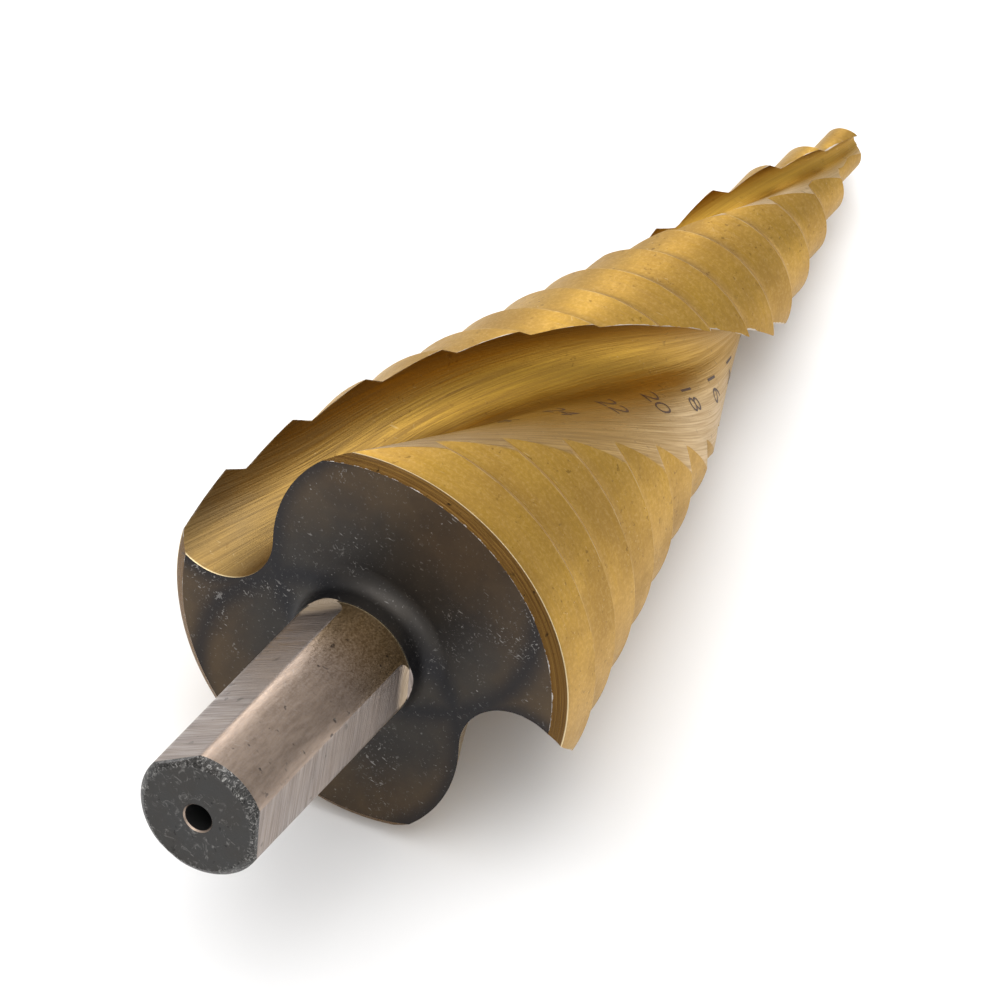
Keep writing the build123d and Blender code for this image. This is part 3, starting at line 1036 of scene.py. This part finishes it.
class MakeMarks(bpy.types.Operator):
    """Make the steps' sizes in millimetres, marked in one flute"""

    bl_idname = "step_drill.make_marks"
    bl_label = "Size marks"

    def execute(self, context):
        scene = context.scene
        sizes, marks = scene.drill_sizes, scene.drill_marks
        points, faces, count = [], [], 0
        for step in range(marks.first_mark, marks.last_mark + 1):
            letters, digit_faces = flat_digits(round(2 * step_radius(sizes, step) / MM), marks)
            height = step_front(sizes, step) - marks.before_front
            points.append(mark_points(sizes, letters, height, marks.along_section))
            faces += [[corner + count for corner in face] for face in digit_faces]
            count += len(letters)
        mesh = bpy.data.meshes.new("size_marks")
        mesh.from_pydata(lay_down(np.concatenate(points)).tolist(), [], faces)
        mesh.materials.append(plain_material("mark", scene.drill_finishes.mark, 0.2, 0.5))
        piece = bpy.data.objects.new("size_marks", mesh)
        scene.collection.objects.link(piece)
        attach(piece, "root")
        return {"FINISHED"}


def make_floor(scene, setting):
    """A plain square floor at the height on which the drill lies."""
    mesh = bpy.data.meshes.new("floor")
    corners = [(x * FLOOR_REACH, y * FLOOR_REACH, 0) for x, y in ((-1, -1), (1, -1), (1, 1), (-1, 1))]
    mesh.from_pydata(corners, [], [(0, 1, 2, 3)])
    mesh.materials.append(plain_material("floor", setting.floor_colour, 0.0, 0.8))
    floor = bpy.data.objects.new("floor", mesh)
    scene.collection.objects.link(floor)


def make_camera(scene, setting):
    """The photo's camera. Its place was fitted in the drill's own frame, turned by PHOTO_TURN from a
    cutting edge, and is carried along as the drill is laid down."""
    rest = scene.drill_rest
    lean = Matrix.Rotation(math.pi / 2 + rest.tilt, 4, "Y")
    turn = Matrix.Rotation(scene.drill_sizes.edge_at_rest + PHOTO_TURN, 4, "Z")
    own = Matrix([*zip(CAMERA_RIGHT, CAMERA_UP, CAMERA_BACK, CAMERA_PLACE), (0, 0, 0, 1)])
    data = bpy.data.cameras.new("camera")
    data.lens, data.sensor_width = setting.lens, SENSOR_WIDTH
    data.clip_start, data.clip_end = 0.01, 20.0
    camera = bpy.data.objects.new("camera", data)
    camera.matrix_world = Matrix.Translation(rest.seat) @ lean @ turn @ own
    scene.collection.objects.link(camera)
    scene.camera = camera


def make_lights(scene, setting):
    """Three square lights that face the drill, and a surround that is brightest overhead."""
    for name, spot, size, power in (
        ("key_light", (-0.1, -0.1, 0.9), 0.9, setting.key_power),
        ("fill_light", (-0.7, -0.5, 0.5), 0.6, setting.fill_power),
        ("rim_light", (0.6, 0.5, 0.6), 0.5, setting.rim_power),
    ):
        data = bpy.data.lights.new(name, "AREA")
        data.shape, data.size, data.energy = "SQUARE", size, power
        light = bpy.data.objects.new(name, data)
        facing = (-Vector(spot)).to_track_quat("-Z", "Y").to_matrix().to_4x4()
        light.matrix_world = Matrix.Translation(spot) @ facing
        scene.collection.objects.link(light)
    world = bpy.data.worlds.new("surround")
    world.use_nodes = True
    tree = Tree(world.node_tree)
    sky = world.node_tree.nodes["Background"].inputs
    sky["Color"].default_value = (1, 1, 1, 1)
    up = tree.add("ShaderNodeSeparateXYZ", {0: tree.add("ShaderNodeTexCoord")["Generated"]})["Z"]
    tree.put(sky["Strength"], tree.ramp(up, 0.0, 0.9, setting.horizon_strength, setting.world_strength))
    scene.world = world


class MakeStage(bpy.types.Operator):
    """Make the pale floor, the soft lights, the surround and the camera"""

    bl_idname = "step_drill.make_stage"
    bl_label = "Stage"

    def execute(self, context):
        scene, setting = context.scene, context.scene.drill_setting
        make_floor(scene, setting)
        make_camera(scene, setting)
        make_lights(scene, setting)
        scene.view_settings.view_transform = "Standard"
        return {"FINISHED"}


class StepDrillPanel(bpy.types.Panel):
    """Lists the pieces of the step drill"""

    bl_idname = "VIEW3D_PT_step_drill"
    bl_label = "Step Drill"
    bl_space_type = "VIEW_3D"
    bl_region_type = "UI"
    bl_category = "Step Drill"

    def draw(self, context):
        for operator in OPERATORS:
            self.layout.operator(operator.bl_idname)
        for name in GROUPS:
            group = getattr(context.scene, name)
            box = self.layout.box()
            for prop in group.bl_rna.properties:
                if prop.identifier not in {"name", "rna_type"}:
                    box.prop(group, prop.identifier)


GROUPS = {
    "drill_sizes": DrillSizes,
    "shank_sizes": ShankSizes,
    "drill_rest": RestPlace,
    "drill_marks": MarkPlaces,
    "drill_finishes": Finishes,
    "drill_setting": Setting,
}
OPERATORS = (MakeDrill, MakeMarks, MakeStage)


def register():
    for group in GROUPS.values():
        bpy.utils.register_class(group)
    for name, group in GROUPS.items():
        setattr(bpy.types.Scene, name, PointerProperty(type=group))
    for operator in OPERATORS:
        bpy.utils.register_class(operator)
    bpy.utils.register_class(StepDrillPanel)


def unregister():
    bpy.utils.unregister_class(StepDrillPanel)
    for operator in reversed(OPERATORS):
        bpy.utils.unregister_class(operator)
    for name in GROUPS:
        delattr(bpy.types.Scene, name)
    for group in reversed(GROUPS.values()):
        bpy.utils.unregister_class(group)


def main():
    register()
    bpy.ops.step_drill.make_drill()
    bpy.ops.step_drill.make_marks()
    bpy.ops.step_drill.make_stage()


if __name__ == "__main__":
    main()
